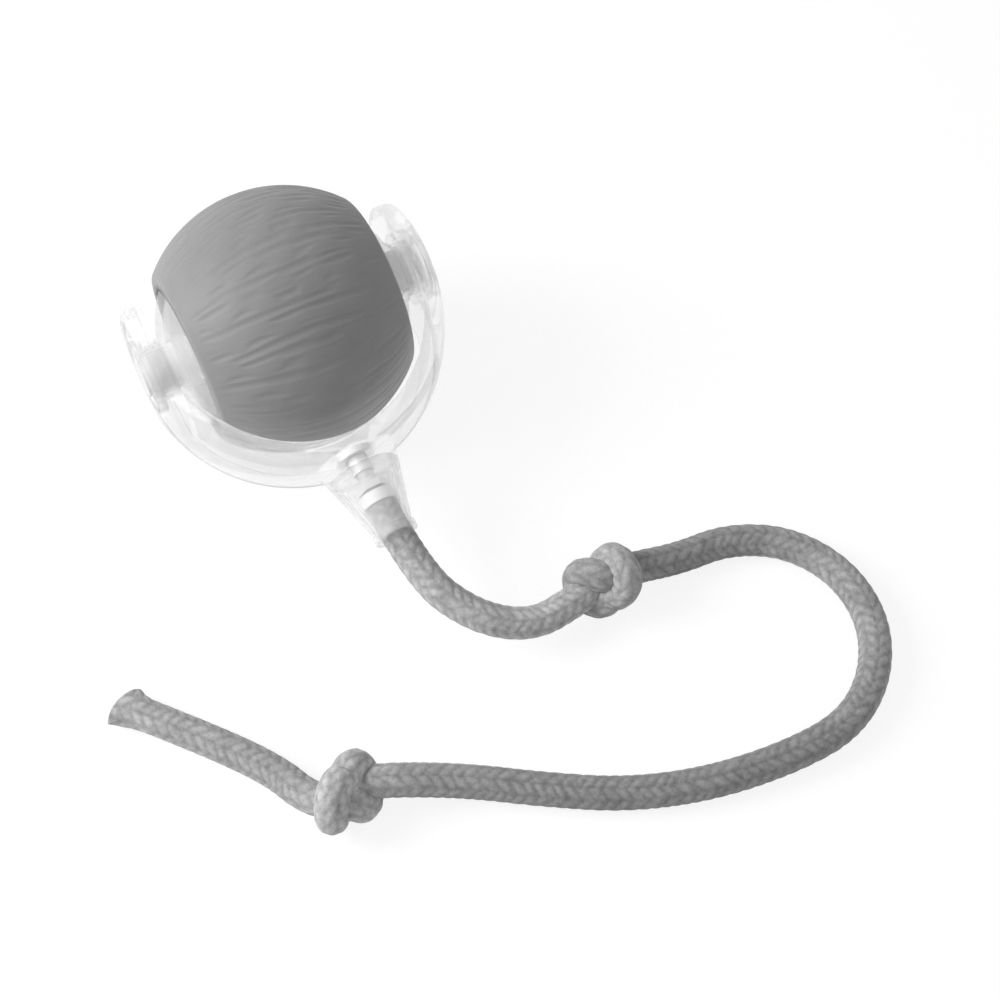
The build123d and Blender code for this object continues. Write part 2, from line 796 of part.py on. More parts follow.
# Rubber plug that closes the charging socket
socket_mouth = socket_start + socket_depth
with BuildPart() as port_plug:
    with BuildSketch(across(socket_mouth + fit_gap)):
        Circle(plug_head_radius)
    extrude(amount=socket_recess)
    with BuildSketch(across(socket_mouth + fit_gap)):
        insert = socket_wall + plug_gap
        SlotOverall(socket_width - 2 * insert, socket_height - 2 * insert)
        Rectangle(
            socket_tongue_width + 2 * plug_gap,
            socket_tongue_height + 2 * plug_gap,
            mode=Mode.SUBTRACT,
        )
    extrude(amount=-plug_depth)
save(port_plug, "port_plug")

# Rope end held in the sleeve by a crimped ring
anchor_start = cavity_start + nut_height + rope_end_gap
with BuildPart() as rope_anchor:
    with BuildSketch(down_neck(anchor_start)):
        Circle(rope_radius)
    extrude(amount=rope_anchor_length)
save(rope_anchor, "rope_anchor")

with BuildPart() as rope_crimp:
    with BuildSketch(down_neck(anchor_start + fit_gap)):
        Circle(rope_radius + crimp_thickness)
        Circle(rope_radius, mode=Mode.SUBTRACT)
    extrude(amount=crimp_length)
save(rope_crimp, "rope_crimp")


# Rope route and its knots
def knot_half():
    """Half an overhand knot from its middle outwards, along local X."""
    points = []
    for step in range(knot_steps + 1):
        way = step / knot_steps
        if way <= knot_wrap_share:
            part_way = way / knot_wrap_share
            bulge = sin(pi * part_way)
            along = -knot_reach * bulge
            lag = knot_lag_share * sin(2 * pi * part_way) / (2 * pi)
            angle = radians(knot_turn * (part_way - lag))
            radius = knot_core_radius + (knot_loop_radius - knot_core_radius) * abs(bulge) ** knot_flare_share
        else:
            part_way = (way - knot_wrap_share) / (1 - knot_wrap_share)
            along = knot_exit * part_way
            angle = radians(knot_turn + knot_exit_turn * part_way)
            radius = knot_core_radius * (1 - part_way)
        points.append((along, radius * cos(angle), radius * sin(angle)))
    return points


def knot_points(place):
    """A whole knot's corners in the part's frame, resting on the floor."""
    x, y, heading, roll = place
    half = knot_half()
    other = [(-along, side, -up) for along, side, up in half]
    turned = []
    for along, side, up in other[:0:-1] + half:
        turned.append(
            (
                along,
                side * cos(radians(roll)) - up * sin(radians(roll)),
                side * sin(radians(roll)) + up * cos(radians(roll)),
            )
        )
    lift = knot_cord_radius - min(up for along, side, up in turned)
    ahead = (cos(radians(heading)), sin(radians(heading)))
    return [
        (x + along * ahead[0] - side * ahead[1], y + along * ahead[1] + side * ahead[0], lift + up)
        for along, side, up in turned
    ]


def corner_radii(points):
    """The radius of each corner's arc: 0.45 of the shorter run over the tangent of half the turn."""
    radii = []
    for before, here, after in zip(points, points[1:], points[2:]):
        run_in = here - before
        run_out = after - here
        half_turn = radians(run_in.get_angle(run_out)) / 2
        radii.append(0.45 * min(run_in.length, run_out.length) / tan(half_turn))
    return radii


def corner(point):
    """A hand-placed corner as a vector."""
    return Vector(*point)


# The whole route's corners, and the radius at each corner but the first and last
near_knot = knot_points(near_knot_place)
far_knot = knot_points(far_knot_place)
route = [ball_center + neck_direction * (anchor_start + rope_anchor_length)]
route.append(ball_center + neck_direction * (sleeve_end + rope_straight))
route += [corner(point) for point in rope_lead_points]
near_first = len(route)
route += [corner(point) for point in near_knot]
near_last = len(route) - 1
route += [corner(point) for point in rope_middle_points]
far_first = len(route)
route += [corner(point) for point in far_knot]
far_last = len(route) - 1
route += [corner(point) for point in rope_tail_points]
bends = corner_radii(route)


def beyond(here, towards):
    """The point where a knot's cord meets the free rope, on the run from its last corner."""
    return here + (towards - here).normalized() * knot_margin


def stretch_route(start, first, last, end):
    """A stretch's points and radii: its start, the route's corners from first to last, and its end."""
    return [start] + route[first : last + 1] + [end], bends[first - 1 : last]


near_in = beyond(route[near_first], route[near_first - 1])
near_out = beyond(route[near_last], route[near_last + 1])
far_in = beyond(route[far_first], route[far_first - 1])
far_out = beyond(route[far_last], route[far_last + 1])
stretches = {
    "rope_lead": (stretch_route(route[0], 1, near_first - 1, near_in), rope_radius),
    "near_knot": (stretch_route(near_in, near_first, near_last, near_out), knot_cord_radius),
    "rope_middle": (stretch_route(near_out, near_last + 1, far_first - 1, far_in), rope_radius),
    "far_knot": (stretch_route(far_in, far_first, far_last, far_out), knot_cord_radius),
    "rope_tail": (stretch_route(far_out, far_last + 1, len(route) - 2, route[-1]), rope_radius),
}


def least_gap(wire, radius):
    """The least gap between a tube's turns, measured on points along its middle line."""
    count = int(wire.length / gap_step)
    spots = [wire @ (i / count) for i in range(count + 1)]
    apart = int(5 * radius / gap_step)
    nearest = min((spots[i] - spot).length for i in range(count) for spot in spots[i + apart :])
    return nearest - 2 * radius


# Each stretch is one tube along straight runs joined by tangent arcs
rope_length = rope_anchor_length
for name, ((points, radii), radius) in stretches.items():
    with BuildPart() as stretch:
        with BuildLine() as path:
            FilletPolyline(*points, radius=radii)
        with BuildSketch(Plane(origin=points[0], z_dir=points[1] - points[0])):
            Circle(radius)
        sweep()
    save(stretch, name)
    wire = path.wires()[0]
    rope_length += wire.length
    volume_share = stretch.part.volume / (pi * radius**2 * wire.length)
    print(name, "length", round(wire.length, 1), "volume over section times length", round(volume_share, 4))
    print("  radii", [round(bend, 1) for bend in radii])
    if radius == knot_cord_radius:
        print("  least gap to itself", round(least_gap(wire, radius), 2))
print("rope length", round(rope_length, 1))
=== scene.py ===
from math import cos, pi, radians, sin, sqrt

import bpy
import numpy as np
from mathutils import Matrix, Vector


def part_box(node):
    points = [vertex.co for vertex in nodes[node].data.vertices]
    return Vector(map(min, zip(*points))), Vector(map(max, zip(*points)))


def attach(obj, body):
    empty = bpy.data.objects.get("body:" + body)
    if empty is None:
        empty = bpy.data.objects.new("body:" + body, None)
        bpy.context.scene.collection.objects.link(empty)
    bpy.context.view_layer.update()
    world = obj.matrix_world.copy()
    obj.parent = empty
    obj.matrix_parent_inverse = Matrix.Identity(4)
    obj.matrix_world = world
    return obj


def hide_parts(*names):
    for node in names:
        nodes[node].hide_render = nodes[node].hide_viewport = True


# Looks of the self rolling cat ball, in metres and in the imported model's frame.
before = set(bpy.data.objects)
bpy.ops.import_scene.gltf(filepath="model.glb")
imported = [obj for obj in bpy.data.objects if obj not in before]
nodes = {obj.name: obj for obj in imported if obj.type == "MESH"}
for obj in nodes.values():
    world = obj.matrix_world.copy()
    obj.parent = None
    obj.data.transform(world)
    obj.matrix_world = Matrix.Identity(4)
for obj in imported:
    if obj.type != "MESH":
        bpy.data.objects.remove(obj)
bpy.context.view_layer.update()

MM = 0.001

# Ball, read from the frame. Its barrel is an ellipse turned about the ball's axis, and the
# barrel's reach is half of that ellipse's length.
sleeve_low, sleeve_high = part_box("grip_sleeve")
ball_center = (sleeve_low + sleeve_high) / 2
ball_radius = (sleeve_high.z - sleeve_low.z) / 2
sleeve_half_width = (sleeve_high.x - sleeve_low.x) / 2
barrel_reach = 33.9 * MM
sleeve_thickness = 2.5 * MM
rim_round = 0.9 * MM

# The grip sleeve's mesh: points round it, rows outside and inside, and steps round a rim
sleeve_turns = 740
sleeve_rows = 140
sleeve_inner_rows = 24
rim_steps = 7

# Ripples on the grip sleeve: ridges that run from hub to hub, wander, join and fade. Each
# sum of waves has its count of waves, the most turns that one makes round the ball and
# their length along its axis.
ripple_seed = 5
ripple_count = 74
ripple_depth = 0.24 * MM
ripple_fade = 3.0 * MM
ripple_sharpness = 1.4
ripple_wander = 1.3
wander_waves = (14, 14, 6.0 * MM)
strength_middle = 0.42
strength_swing = 0.58
strength_contrast = 1.4
strength_waves = (30, 46, 1.6 * MM)

# Rope
rope_radius = 4.0 * MM
knot_radius = 3.95 * MM
knot_blend = 6.0 * MM
rope_ring_step = 0.36 * MM
rope_sides = 60
floor_gap = 0.02 * MM

# Braid: columns of slanted stitches whose height falls off to their ends and sides. Each
# wave of drift has its height in stitches, its length along the rope and its step from
# one column to the next.
stitch_columns = 8
stitch_length = 2.9 * MM
stitch_slant = 0.42
stitch_drift = ((0.4, 9.0 * MM, 1.7), (0.25, 3.7 * MM, 2.3))
stitch_end_fall = 1.8
stitch_side_fall = 1.75
stitch_side_top = 1.1
braid_depth = 0.24 * MM

# The rope's cut end
flare_length = 7.0 * MM
flare_growth = 1.4 * MM
end_slant = -1.6 * MM
end_bulge = 0.9 * MM

# Painted light and shade along the rope's run, lighter on stretches and knots that catch the
# light: shares of its length with a factor each
rope_painted_light = [
    (0.0, 0.84),
    (0.08, 1.3),
    (0.16, 1.25),
    (0.25, 0.98),
    (0.3, 0.72),
    (0.34, 0.78),
    (0.4, 1.08),
    (0.46, 0.98),
    (0.51, 0.76),
    (0.66, 0.74),
    (0.72, 0.92),
    (0.77, 1.25),
    (0.87, 1.25),
    (0.9, 0.84),
    (1.0, 1.04),
]

# Neck, and where the rope starts, comes out of its sleeve and first bends
neck_droop = radians(10)
neck_direction = Vector((0, -cos(neck_droop), -sin(neck_droop)))
rope_inner_end = 51.2 * MM
rope_first_bend = 73.4 * MM

# The rope's route in millimetres: the corners of its tube, and for each knot its middle's
# x and y, its heading and its roll in degrees and the radius of its loops
lead_points = [(7.6, -85.9, 14.6), (19.6, -92.6, 9.6)]
near_knot = (40.8, -90.6, 4.0, 203.0, 5.2)
middle_points = [
    (61.3, -91.4, 5.0),
    (74.9, -92.0, 4.0),
    (87.6, -99.3, 4.0),
    (95.0, -112.4, 4.0),
    (94.8, -127.3, 4.0),
    (87.0, -139.9, 4.0),
    (74.3, -147.4, 4.0),
    (57.5, -147.6, 4.0),
    (38.0, -144.4, 4.0),
    (20.0, -137.8, 4.0),
    (4.0, -127.9, 4.0),
    (-11.2, -117.7, 5.0),
]
far_knot = (-36.6, -108.5, 168.0, 120.0, 5.6)
tail_points = [(-48.8, -94.8, 5.0), (-60.5, -78.8, 4.0), (-73.2, -63.8, 4.0)]

# The spline over that route, and the gap in metres under which two of its points are one
spline_order = 3
spline_resolution = 48
same_point = 1e-9

# Half a knot, in millimetres and degrees: first a loop round the knot's core, which
# reaches back past the middle, then the way out to the rope
knot_steps = 11
knot_loop_share = 0.75
knot_core = 2.9
knot_reach = 4.7
knot_turn = 246.0
knot_sway = 0.13
knot_fullness = 0.6
knot_leave = 8.5
knot_leave_turn = -22.0

# Camera, fitted to the photograph
camera_place = Vector((-70.0, -245.3, 383.1)) * MM
camera_forward = Vector((0.2312, 0.4350, -0.8703))
camera_up = Vector((0.4085, 0.7685, 0.4926))
camera_lens = 62.6
camera_sensor = 36.0
camera_nearest = 0.01

# Edges of the CAD nodes that turn by more than this stay sharp
edge_angle = radians(35)

# Stage and light
floor_reach = 3.0
floor_glow = 0.84
world_light = 0.38
white = (1.0, 1.0, 1.0, 1.0)


# Shader helpers
def new_material(name):
    """A material with an empty node tree, its Principled shader and its output."""
    material = bpy.data.materials.new(name)
    material.use_nodes = True
    tree = material.node_tree
    tree.nodes.clear()
    shader = tree.nodes.new("ShaderNodeBsdfPrincipled")
    output = tree.nodes.new("ShaderNodeOutputMaterial")
    tree.links.new(shader.outputs["BSDF"], output.inputs["Surface"])
    return material, tree, shader


def object_noise(tree, scale, detail=4.0, roughness=0.55):
    """Noise in object space, whose scale is in waves per metre."""
    place = tree.nodes.new("ShaderNodeTexCoord")
    texture = tree.nodes.new("ShaderNodeTexNoise")
    texture.inputs["Scale"].default_value = scale
    texture.inputs["Detail"].default_value = detail
    texture.inputs["Roughness"].default_value = roughness
    tree.links.new(place.outputs["Object"], texture.inputs["Vector"])
    return texture.outputs["Fac"]


def ramp(tree, value, stops):
    """A colour ramp over a value, from a list of (position, grey or colour)."""
    node = tree.nodes.new("ShaderNodeValToRGB")
    elements = node.color_ramp.elements
    while len(elements) < len(stops):
        elements.new(0.5)
    for element, (position, color) in zip(elements, stops):
        element.position = position
        shade = (color, color, color) if isinstance(color, float) else color
        element.color = (*shade, 1.0)
    tree.links.new(value, node.inputs["Fac"])
    return node.outputs["Color"]


def mottle(tree, shader, scale, dark, light, spread=0.2):
    """Colours the shader in soft patches, from dark to light."""
    stops = [(0.5 - spread, dark), (0.5 + spread, light)]
    color = ramp(tree, object_noise(tree, scale), stops)
    tree.links.new(color, shader.inputs["Base Color"])


def bump(tree, shader, height, distance, strength=1.0):
    """Adds a bump of that height map, whose distance is in metres, to the shader."""
    node = tree.nodes.new("ShaderNodeBump")
    node.inputs["Strength"].default_value = strength
    node.inputs["Distance"].default_value = distance
    tree.links.new(height, node.inputs["Height"])
    tree.links.new(node.outputs["Normal"], shader.inputs["Normal"])


def seen_ray(tree):
    """1 for a ray from the camera, also through clear parts or off glossy ones, else 0."""
    path = tree.nodes.new("ShaderNodeLightPath")
    seen = path.outputs["Is Camera Ray"]
    for name in ("Is Glossy Ray", "Is Transmission Ray"):
        either = tree.nodes.new("ShaderNodeMath")
        either.operation = "MAXIMUM"
        tree.links.new(seen, either.inputs[0])
        tree.links.new(path.outputs[name], either.inputs[1])
        seen = either.outputs[0]
    return seen


# Materials
def rubber_material(name, dark, light):
    """Matte rubber: slightly mottled, with a fine grain."""
    material, tree, shader = new_material(name)
    shader.inputs["Roughness"].default_value = 0.62
    shader.inputs["Specular IOR Level"].default_value = 0.35
    shader.inputs["Sheen Weight"].default_value = 0.15
    mottle(tree, shader, 45.0, dark, light, spread=0.15)
    bump(tree, shader, object_noise(tree, 2600.0, detail=2.0), 0.03 * MM)
    return material


def clear_material(name, tint, edge_painted_shade, alpha, clearness, index):
    """Clear moulded plastic, slightly milky: seen mostly straight through, painted shade at
    edges.
    """
    material, tree, shader = new_material(name)
    shader.inputs["Roughness"].default_value = 0.08
    shader.inputs["IOR"].default_value = index
    shader.inputs["Transmission Weight"].default_value = clearness
    shader.inputs["Alpha"].default_value = alpha
    # Painted shade: the colour greys to the edge tint where seen edge-on, as light greys clear
    # plastic's edges
    facing = tree.nodes.new("ShaderNodeLayerWeight")
    facing.inputs["Blend"].default_value = 0.4
    color = ramp(tree, facing.outputs["Facing"], [(0.0, tint), (0.6, tint), (1.0, edge_painted_shade)])
    tree.links.new(color, shader.inputs["Base Color"])
    bump(tree, shader, object_noise(tree, 120.0, detail=2.0), 0.05 * MM, strength=0.3)
    return material


def plastic_material(name, dark, light, roughness=0.4):
    """Moulded opaque plastic with a fine spark-eroded grain."""
    material, tree, shader = new_material(name)
    shader.inputs["Roughness"].default_value = roughness
    mottle(tree, shader, 90.0, dark, light)
    bump(tree, shader, object_noise(tree, 4000.0, detail=2.0), 0.01 * MM)
    return material


def metal_material(name, dark, light, roughness=0.32):
    """Turned or rolled metal with a brushed grain and slight tarnish."""
    material, tree, shader = new_material(name)
    shader.inputs["Metallic"].default_value = 1.0
    shader.inputs["Roughness"].default_value = roughness
    mottle(tree, shader, 300.0, dark, light)
    bump(tree, shader, object_noise(tree, 9000.0, detail=1.0), 0.005 * MM)
    return material


def rope_material():
    """Braided cord: pale floats with painted shade in the gaps between them, fibre along each
    strand, and painted light and shade along its run.
    """
    material, tree, shader = new_material("rope_braid")
    shader.inputs["Roughness"].default_value = 0.85
    shader.inputs["Specular IOR Level"].default_value = 0.2
    shader.inputs["Sheen Weight"].default_value = 0.25
    lay = tree.nodes.new("ShaderNodeAttribute")
    lay.attribute_name = "lay"
    along = tree.nodes.new("ShaderNodeAttribute")
    along.attribute_name = "along"
    fibre = object_noise(tree, 650.0, detail=3.0, roughness=0.7)
    # Painted shade in the braid's gaps: darker where the braid is low, paler on its stitches
    color = ramp(tree, lay.outputs["Fac"], [(0.0, 0.34), (0.4, 0.47), (1.0, 0.6)])
    for shade in (
        ramp(tree, object_noise(tree, 160.0), [(0.3, 0.78), (0.7, 1.0)]),
        ramp(tree, fibre, [(0.35, 0.74), (0.65, 1.08)]),
        # painted light and shade along the rope's run
        ramp(tree, along.outputs["Fac"], rope_painted_light),
    ):
        mixed = tree.nodes.new("ShaderNodeMix")
        mixed.data_type = "RGBA"
        mixed.blend_type = "MULTIPLY"
        mixed.inputs["Factor"].default_value = 1.0
        tree.links.new(color, mixed.inputs["A"])
        tree.links.new(shade, mixed.inputs["B"])
        color = mixed.outputs["Result"]
    tree.links.new(color, shader.inputs["Base Color"])
    bump(tree, shader, object_noise(tree, 3200.0, detail=3.0, roughness=0.7), 0.12 * MM)
    return material


def floor_material():
    """White floor: seen as white, with the object's soft shadow kept."""
    material, tree, shader = new_material("stage_white")
    shader.inputs["Roughness"].default_value = 0.9
    shader.inputs["Specular IOR Level"].default_value = 0.0
    seen = seen_ray(tree)
    glow = tree.nodes.new("ShaderNodeMath")
    glow.operation = "MULTIPLY"
    glow.inputs[1].default_value = floor_glow
    tree.links.new(seen, glow.inputs[0])
    tree.links.new(glow.outputs[0], shader.inputs["Emission Strength"])
    shader.inputs["Emission Color"].default_value = white
    tree.links.new(ramp(tree, seen, [(0.0, 0.92), (1.0, 0.24)]), shader.inputs["Base Color"])
    return material


# Finishes of the CAD nodes
def paint(node_names, material):
    """Gives CAD nodes a material."""
    for name in node_names:
        mesh = nodes[name].data
        mesh.materials.clear()
        mesh.materials.append(material)


def finish_cad_nodes():
    """Paints the CAD nodes that stay visible, and shades them smooth but for their edges."""
    # Nodes, tint, painted shade at the edges, alpha, clearness and index
    clear_parts = {
        "clear_yoke": (["yoke"], 0.95, 0.25, 0.45, 0.94, 1.18),
        "clear_cone": (["rope_sleeve"], 1.0, 0.3, 0.44, 0.5, 1.2),
        "clear_cap": (["left_axle_cap", "right_axle_cap"], 1.0, 0.12, 0.7, 0.9, 1.2),
        "clear_shell": (["left_shell", "right_shell"], 1.0, 0.95, 0.36, 0.32, 1.2),
    }
    for name, (node_names, *look) in clear_parts.items():
        paint(node_names, clear_material(name, *look))
    steel = metal_material("steel", 0.78, 0.88, roughness=0.72)
    paint(["swivel_pin", "swivel_nut", "rope_crimp", "motor_shaft", "gear_pin"], steel)
    paint(["board_screws", "weight_screws", "drive_motor", "usb_socket"], steel)
    brass = metal_material("pinion_brass", (0.5, 0.36, 0.13), (0.62, 0.46, 0.2))
    paint(["motor_pinion"], brass)
    paint(["balance_weight"], metal_material("weight_steel", 0.16, 0.26, roughness=0.45))
    paint(["battery"], metal_material("battery_foil", 0.3, 0.42, roughness=0.5))
    paint(["drive_gear", "compound_gear"], plastic_material("gear_plastic", 0.82, 0.88))
    paint(["carriage"], plastic_material("carriage_plastic", 0.9, 0.95))
    board_green = plastic_material("board_green", (0.01, 0.07, 0.03), (0.02, 0.1, 0.05))
    paint(["circuit_board"], board_green)
    paint(["indicator_lights"], plastic_material("light_lens", 0.75, 0.85, roughness=0.25))
    paint(["tact_switch"], plastic_material("switch_plastic", 0.02, 0.04))
    paint(["power_button"], plastic_material("button_plastic", 0.6, 0.66, roughness=0.3))
    paint(["seal_ring"], rubber_material("seal_rubber", 0.03, 0.05))
    paint(["port_plug"], rubber_material("plug_rubber", 0.82, 0.88))
    for node in nodes.values():
        mesh = node.data
        mesh.polygons.foreach_set("use_smooth", [True] * len(mesh.polygons))
        mesh.set_sharp_from_angle(angle=edge_angle)


# Object and mesh helpers
def new_object(name, data):
    """An object in the scene."""
    thing = bpy.data.objects.new(name, data)
    bpy.context.scene.collection.objects.link(thing)
    return thing


def new_piece(name, mesh, body, slot, material, *replaced):
    """A finished piece that rides on a body and stands for CAD nodes."""
    piece = new_object(name, mesh)
    mesh.materials.append(material)
    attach(piece, body)
    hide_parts(*replaced)
    return piece


def ring_mesh(name, rings, closed_along):
    """A mesh over rings of points, an array of (rings, sides, 3).

    It is closed from its last ring to its first, or else has a flat face at each end.
    """
    count, sides = rings.shape[:2]
    index = np.arange(count * sides).reshape(count, sides)
    here = index if closed_along else index[:-1]
    there = np.roll(index, -1, axis=0) if closed_along else index[1:]
    corners = [here, np.roll(here, -1, axis=1), np.roll(there, -1, axis=1), there]
    faces = np.stack(corners, axis=-1).reshape(-1, 4).tolist()
    smooth = [True] * len(faces)
    if not closed_along:
        faces += [index[0, ::-1].tolist(), index[-1].tolist()]
        smooth += [False, False]
    mesh = bpy.data.meshes.new(name)
    mesh.from_pydata(rings.reshape(-1, 3).tolist(), [], faces)
    mesh.polygons.foreach_set("use_smooth", smooth)
    return mesh


def smooth_step(share):
    """A share from 0 to 1, eased at both ends."""
    return share * share * (3 - 2 * share)


# Grip sleeve
def waves(rng, angle, along, count, turns, length):
    """Smooth noise about 1 high, round the ball and along its axis, as a sum of waves."""
    total = np.zeros(np.broadcast(angle, along).shape)
    for _ in range(count):
        turn = rng.integers(1, turns + 1) * rng.choice([-1, 1])
        lean = rng.uniform(-1, 1)
        start = rng.uniform(0, 2 * pi)
        total = total + np.sin(turn * angle + lean * along / length + start)
    return total / sqrt(count / 2)


def barrel_radius(x, middle_radius=ball_radius, reach=barrel_reach):
    """A barrel's radius at a distance x from its middle."""
    return middle_radius * sqrt(1 - (x / reach) ** 2)


def sleeve_profile():
    """The sleeve's section as points (x, radius) with the share of ripple that each carries."""
    rim_x = sleeve_half_width - rim_round
    points = []
    for x in np.linspace(-rim_x, rim_x, sleeve_rows):
        fade = smooth_step(min(1.0, (rim_x - abs(x)) / ripple_fade))
        points.append((x, barrel_radius(x), fade))
    rim_radius = barrel_radius(rim_x)
    fall = rim_radius - barrel_radius(sleeve_half_width)
    slope = fall / sqrt(rim_round**2 + fall**2)
    right_rim = []
    for step in range(1, rim_steps + 1):
        turn = step / rim_steps * (pi / 2)
        x = rim_x + rim_round * sin(turn)
        drop = fall * sin(turn) * slope + rim_round * (1 - cos(turn))
        right_rim.append((x, rim_radius - drop, 0.0))
    points += right_rim
    inner_radius = ball_radius - sleeve_thickness
    inner_reach = barrel_reach - sleeve_thickness
    for x in np.linspace(sleeve_half_width, -sleeve_half_width, sleeve_inner_rows):
        points.append((x, barrel_radius(x, inner_radius, inner_reach), 0.0))
    points += [(-x, radius, fade) for x, radius, fade in reversed(right_rim)]
    return np.array(points)


def make_grip_sleeve():
    """The grey rubber sleeve, with its ripples."""
    along, plain_radius, fade = sleeve_profile().T[:, :, None]
    angle = np.linspace(0, 2 * pi, sleeve_turns, endpoint=False)[None, :]
    rng = np.random.default_rng(ripple_seed)
    wander = ripple_wander * waves(rng, angle, along, *wander_waves)
    strength = np.tanh(strength_contrast * waves(rng, angle, along, *strength_waves))
    strength = strength_middle + strength_swing * strength
    ridge = 0.5 + 0.5 * np.sin(ripple_count * angle + wander)
    radius = plain_radius - ripple_depth * strength * (1 - ridge**ripple_sharpness) * fade
    x = np.broadcast_to(along, radius.shape)
    points = np.stack([x, radius * np.cos(angle), radius * np.sin(angle)], axis=-1)
    mesh = ring_mesh("grip_sleeve_rippled", points + np.array(ball_center), True)
    material = rubber_material("grip_rubber", 0.265, 0.295)
    new_piece("grip_sleeve_rippled", mesh, "ball", "grip_rubber", material, "grip_sleeve")


# Rope
def knot_half(loop):
    """Half an overhand knot from its middle outwards, in millimetres along local X.

    Its last point but one is left out, so that the rope leaves the knot in a round bend.
    """
    points = []
    for step in range(knot_steps + 1):
        way = step / knot_steps
        if way <= knot_loop_share:
            part_way = way / knot_loop_share
            bulge = sin(pi * part_way)
            along = -knot_reach * bulge
            sway = knot_sway * sin(2 * pi * part_way) / (2 * pi)
            angle = radians(knot_turn * (part_way - sway))
            radius = knot_core + (loop - knot_core) * abs(bulge) ** knot_fullness
        else:
            part_way = (way - knot_loop_share) / (1 - knot_loop_share)
            along = knot_leave * part_way
            angle = radians(knot_turn + knot_leave_turn * part_way)
            radius = knot_core * (1 - part_way)
        points.append(Vector((along, radius * cos(angle), radius * sin(angle))))
    del points[-2]
    return points


def knot_points(x, y, heading, roll, loop):
    """A whole knot's points, resting on the floor, in millimetres."""
    half = knot_half(loop)
    other = [Vector((-p.x, p.y, -p.z)) for p in half]
    rolled = [Matrix.Rotation(radians(roll), 3, "X") @ p for p in other[:0:-1] + half]
    lift = knot_radius / MM - min(p.z for p in rolled)
    turned = Matrix.Rotation(radians(heading), 3, "Z")
    return [turned @ p + Vector((x, y, lift)) for p in rolled]


def rope_route():
    """The rope's control points in metres, and the index ranges of its two knots."""
    start = (ball_center + neck_direction * rope_inner_end) / MM
    bend = (ball_center + neck_direction * rope_first_bend) / MM
    points = [start, bend] + [Vector(p) for p in lead_points]
    ranges = []
    for place, after in ((near_knot, middle_points), (far_knot, tail_points)):
        first = len(points)
        points += knot_points(*place)
        ranges.append((first, len(points) - 1))
        points += [Vector(p) for p in after]
    return [p * MM for p in points], ranges


def spline_points(points):
    """The points of one smooth spline over the control points, from a curve with no bevel."""
    curve = bpy.data.curves.new("rope_route", "CURVE")
    curve.dimensions = "3D"
    curve.resolution_u = spline_resolution
    spline = curve.splines.new("NURBS")
    spline.points.add(len(points) - 1)
    for control, point in zip(spline.points, points):
        control.co = (*point, 1.0)
    spline.order_u = spline_order
    spline.use_endpoint_u = True
    holder = new_object("rope_route", curve)
    mesh = bpy.data.meshes.new_from_object(holder)
    line = np.array([v.co for v in mesh.vertices])
    bpy.data.objects.remove(holder)
    bpy.data.meshes.remove(mesh)
    return line


def even_steps(line, step):
    """Points at even steps along a line, and their distances from its start."""
    lengths = np.linalg.norm(np.diff(line, axis=0), axis=1)
    line = line[np.concatenate([[True], lengths > same_point])]
    lengths = np.linalg.norm(np.diff(line, axis=0), axis=1)
    distance = np.concatenate([[0], np.cumsum(lengths)])
    wanted = np.linspace(0, distance[-1], int(distance[-1] / step) + 1)
    steps = np.stack([np.interp(wanted, distance, line[:, i]) for i in range(3)], axis=1)
    return steps, wanted


def side_vectors(line):
    """For each point the tangent and two square side vectors that don't twist along the line."""
    tangent = np.gradient(line, axis=0)
    tangent /= np.linalg.norm(tangent, axis=1)[:, None]
    side = np.cross(tangent[0], (1.0, 0.0, 0.0))
    side /= np.linalg.norm(side)
    sides = []
    for t in tangent:
        side = side - t * (side @ t)
        side = side / np.linalg.norm(side)
        sides.append(side)
    sides = np.array(sides)
    return tangent, sides, np.cross(tangent, sides)


def braid(angle, distance):
    """The braid's height, 0 in a gap and 1 on a stitch: two columns' stitches pair as Vs."""
    turn = stitch_columns * angle / (2 * pi)
    column = np.floor(turn)
    across = turn - column - 0.5
    lean = np.where(column % 2 == 0, stitch_slant, -stitch_slant)
    drift = 0
    for height, length, step in stitch_drift:
        drift = drift + height * np.sin(distance / length + step * column)
    run = distance / stitch_length + 2 * lean * across + drift
    beside = run - np.round(run)
    end = np.clip(1 - (stitch_end_fall * beside) ** 2, 0, 1)
    side = np.clip(stitch_side_top - (stitch_side_fall * across) ** 2, 0, 1)
    return end * side


def rope_radii(line, distance, points, ranges):
    """The rope's radius at each distance: slightly thinner in the knots."""
    radius = np.full(len(distance), rope_radius)
    for ends in ranges:
        gaps = [np.linalg.norm(line - np.array(points[i]), axis=1) for i in ends]
        start, end = (distance[np.argmin(gap)] for gap in gaps)
        depth = np.minimum(distance - start, end - distance)
        inside = smooth_step(np.clip(depth / knot_blend + 0.5, 0, 1))
        radius -= (rope_radius - knot_radius) * inside
    return radius


def finish_cut_end(rings, line, tangent, distance):
    """Flares, slants and bulges the rope's cut end, and keeps the rope above the floor."""
    across = np.cross(tangent, (0.0, 0.0, 1.0))
    flare = np.clip(1 - (distance[-1] - distance) / flare_length, 0, 1) ** 2
    share = np.sum((rings - line[:, None, :]) * across[:, None, :], axis=2) / rope_radius
    spread = (flare_growth * across + end_slant * tangent)[:, None, :]
    rings += (flare[:, None] * share)[:, :, None] * spread
    rings += (end_bulge * flare[:, None] * (1 - share**2))[:, :, None] * tangent[:, None, :]
    rings[:, :, 2] = np.maximum(rings[:, :, 2], floor_gap)


